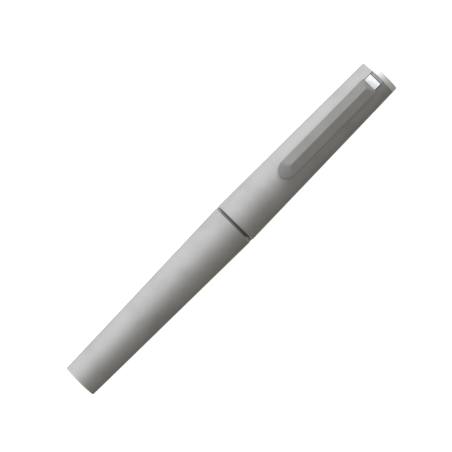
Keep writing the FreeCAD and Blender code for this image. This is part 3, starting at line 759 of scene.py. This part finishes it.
def bar_columns(x):
    """Places across the bar at a station, from one side to the other."""
    share = math.sqrt(1 - max(0.0, 1 - x / NOSE) ** 2)
    half = BAR_HALF * share
    inner = [0.02, 0.05, 0.1, 0.2, 0.4, 0.6, 0.8, 1.0, 1.2, 1.3, 1.4, 1.5, 1.6, 1.8, 2.0, 2.2,
             2.245, 2.255, 2.4, 2.6]
    near_edge = [0.2, 0.16, 0.11, 0.075, 0.04, 0.015, 0.0]
    right = [value * MM * share for value in inner] + [half - value * MM * share for value in near_edge]
    return [-value for value in reversed(right)] + [0.0] + right


def clip_bar_mesh():
    """The clip's bar: a closed loop over the top and under the bottom at each station along it."""
    points = []
    edge_values = []
    rows = []
    for x in bar_rows():
        across = bar_columns(x)
        loop = []
        for y in across:
            loop.append((x, y, bar_top(x, y)))
        for y in reversed(across):
            loop.append((x, y, bar_bottom(x, y)))
        rows.append(range(len(points), len(points) + len(loop)))
        for place in loop:
            points.append(BAR_TO_WORLD @ Vector(place))
            edge_values.append(1.0 if from_outline(place[0], place[1]) < EDGE_ROUND * 0.8 else 0.0)
    faces = []
    count = len(rows[0])
    for low, high in zip(rows, rows[1:]):
        for index in range(count):
            after = (index + 1) % count
            faces.append((low[index], low[after], high[after], high[index]))
    for row in (rows[0], rows[-1]):
        for index in range(count // 2 - 1):
            faces.append((row[index], row[index + 1], row[count - 2 - index], row[count - 1 - index]))
    return mesh_piece("clip_bar_fine", points, faces, edge_values)


clip_bar = clip_bar_mesh()
sharp_by_angle(clip_bar)
stand_for(clip_bar, "clip_bar", CLIP)
stand_for(bevelled_copy("clip_lever", "clip_lever_fine", 0.10 * MM), "clip_lever", POLISH)

for kept_node, kept_material in (("clip_carrier", SHELL), ("clip_pin", STEEL), ("clip_rivets", STEEL)):
    dress(frame["nodes"][kept_node], kept_material)


# ---- springs ---------------------------------------------------------------------------------------------

def coil_path(start, end, radius, wire, turns, height=0.0, steps=40):
    """The centre line of a compression spring along X whose end turns are closed."""
    path = []
    count = round(turns * steps)
    closed_turns = 0.8
    pitch_closed = 2 * wire
    free = (end - start - 2 * wire) - 2 * closed_turns * pitch_closed
    for index in range(count + 1):
        turn = index / steps
        if turn < closed_turns:
            along = turn * pitch_closed
        elif turn > turns - closed_turns:
            along = closed_turns * pitch_closed + free + (turn - turns + closed_turns) * pitch_closed
        else:
            along = closed_turns * pitch_closed + free * (turn - closed_turns) / (turns - 2 * closed_turns)
        angle = 2 * math.pi * turn
        path.append(Vector((start + wire + along, radius * math.sin(angle),
                            AXIS + height + radius * math.cos(angle))))
    return path


def spring(node, wire, turns, height):
    """A spring between the ends of its CAD node. Returns it and the corners of the node's box."""
    low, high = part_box(node)
    radius = (high.y - low.y) / 2 - wire
    coil = tube_along(f"{node}_fine", coil_path(low.x, high.x, radius, wire, turns, height), wire)
    stand_for(coil, node, SPRING_STEEL)
    return coil, low, high


clip_coil, coil_low, coil_high = spring("clip_spring", 0.17 * MM, 7, -0.9 * MM)
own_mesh(clip_coil)
seal_coil, coil_low, coil_high = spring("seal_spring", 0.22 * MM, 3.6, 0.0)
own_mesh(seal_coil)


# ---- ink in the cartridge --------------------------------------------------------------------------------

INK_LENGTH = 38 * MM
INK_RADIUS = 3.46 * MM
CARTRIDGE_FLOOR = 1.05 * MM


def ink_fill():
    """Ink that fills most of the cartridge, with a hollow front where the air is."""
    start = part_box("ink_cartridge")[0].x + CARTRIDGE_FLOOR
    end = start + INK_LENGTH
    radius = INK_RADIUS
    outline = [(start, 0.0, 0.0), (start, radius - 0.2 * MM, 0.0), (start + 0.2 * MM, radius, 0.0),
               (end + 0.6 * MM, radius, 0.0), (end + 0.55 * MM, radius - 0.1 * MM, 0.0)]
    for step in range(1, 9):
        share = 1 - step / 8
        outline.append((end + 0.55 * MM * share ** 2, (radius - 0.1 * MM) * share, 0.0))
    fill = lathe("ink_fill", outline, 96)
    dress(fill, INK)
    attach(fill, "cartridge")


ink_fill()


# ---- floor, light and camera -----------------------------------------------------------------------------

PEN_TURN = math.radians(45.52)         # how far the pen leans from level in the picture
CAMERA_DISTANCE = 1.1
LENS = 280.0
AIM = Vector((-0.73 * MM, 1.4 * MM, AXIS))
ROLL = math.radians(1.7)               # how far the clip is turned away from the camera


def pale_floor():
    """A pale matt floor, lit evenly, that throws no light of its own on the pen."""
    size = 4.0
    corners = [(-size, -size, 0), (size, -size, 0), (size, size, 0), (-size, size, 0)]
    floor = mesh_piece("floor", corners, [(0, 1, 2, 3)])
    shader = Shader("floor_paint", Roughness=0.9)
    speckle = shader.noise(0.02, 2.0)
    shader.colour(shader.ramp(speckle, [(0.3, 0.78), (0.7, 0.82)]))
    shader.surface.inputs["Emission Color"].default_value = (1.0, 1.0, 1.0, 1.0)
    shader.surface.inputs["Emission Strength"].default_value = 0.80
    dress(floor, shader.material)
    floor.visible_glossy = False
    floor.visible_diffuse = False


LIGHT_BY_ANGLE = [
    # angle from straight up towards +Y, in degrees, and the light's colour there
    (-180, (0.60, 0.60, 0.58)),
    (-150, (0.30, 0.29, 0.26)),
    (-105, (0.27, 0.26, 0.22)),
    (-70, (0.22, 0.20, 0.16)),
    (-45, (0.34, 0.31, 0.27)),
    (-20, (0.61, 0.60, 0.57)),
    (0, (0.92, 0.92, 0.92)),
    (25, (1.45, 1.45, 1.45)),
    (50, (1.76, 1.76, 1.77)),
    (80, (1.74, 1.73, 1.75)),
    (150, (1.45, 1.45, 1.45)),
    (180, (0.60, 0.60, 0.58)),
]
LIGHT_BY_END = [
    # how far a direction points to the cap's end, strength of the light from there
    (-1.0, 0.60),
    (0.0, 1.0),
    (0.85, 1.26),
    (1.0, 0.85),
]


def studio_world():
    """Soft light from all round, brighter from the pen's +Y side and its cap end; white to the camera."""
    world = bpy.data.worlds.new("studio")
    bpy.context.scene.world = world
    world.use_nodes = True
    nodes, links = world.node_tree.nodes, world.node_tree.links
    light = nodes["Background"]
    direction = nodes.new("ShaderNodeTexCoord").outputs["Generated"]
    parts = nodes.new("ShaderNodeSeparateXYZ")
    links.new(direction, parts.inputs[0])
    angle = nodes.new("ShaderNodeMath")
    angle.operation = "ARCTAN2"
    links.new(parts.outputs["Y"], angle.inputs[0])
    links.new(parts.outputs["Z"], angle.inputs[1])
    turn = nodes.new("ShaderNodeMapRange")
    for socket, value in zip(("From Min", "From Max", "To Min", "To Max"), (-math.pi, math.pi, 0.0, 1.0)):
        turn.inputs[socket].default_value = value
    links.new(angle.outputs[0], turn.inputs["Value"])
    around = ramp_through(nodes, [((degrees + 180) / 360, colour) for degrees, colour in LIGHT_BY_ANGLE])
    links.new(turn.outputs["Result"], around.inputs["Fac"])
    links.new(around.outputs["Color"], light.inputs["Color"])
    reach = nodes.new("ShaderNodeMapRange")
    reach.inputs["From Min"].default_value = -1.0
    links.new(parts.outputs["X"], reach.inputs["Value"])
    lengthwise = ramp_through(nodes, [((x + 1) / 2, strength) for x, strength in LIGHT_BY_END])
    links.new(reach.outputs["Result"], lengthwise.inputs["Fac"])
    links.new(lengthwise.outputs["Color"], light.inputs["Strength"])
    white = nodes.new("ShaderNodeBackground")
    white.inputs["Color"].default_value = (1.0, 1.0, 1.0, 1.0)
    path = nodes.new("ShaderNodeLightPath")
    choose = nodes.new("ShaderNodeMixShader")
    links.new(path.outputs["Is Camera Ray"], choose.inputs["Fac"])
    links.new(light.outputs[0], choose.inputs[1])
    links.new(white.outputs[0], choose.inputs[2])
    links.new(choose.outputs[0], nodes["World Output"].inputs["Surface"])


def photo_camera():
    """Straight above the pen, turned so that the cap points to the upper right."""
    data = bpy.data.cameras.new("camera")
    data.lens = LENS
    data.sensor_width = 36.0
    data.clip_start = 0.01
    camera = bpy.data.objects.new("camera", data)
    roll = Matrix.Rotation(ROLL, 4, "X")
    back = Matrix.Translation((0, 0, CAMERA_DISTANCE))
    camera.matrix_world = Matrix.Translation(AIM) @ roll @ Matrix.Rotation(-PEN_TURN, 4, "Z") @ back
    bpy.context.scene.collection.objects.link(camera)
    bpy.context.scene.camera = camera


pale_floor()
studio_world()
photo_camera()
bpy.context.scene.view_settings.view_transform = "Standard"
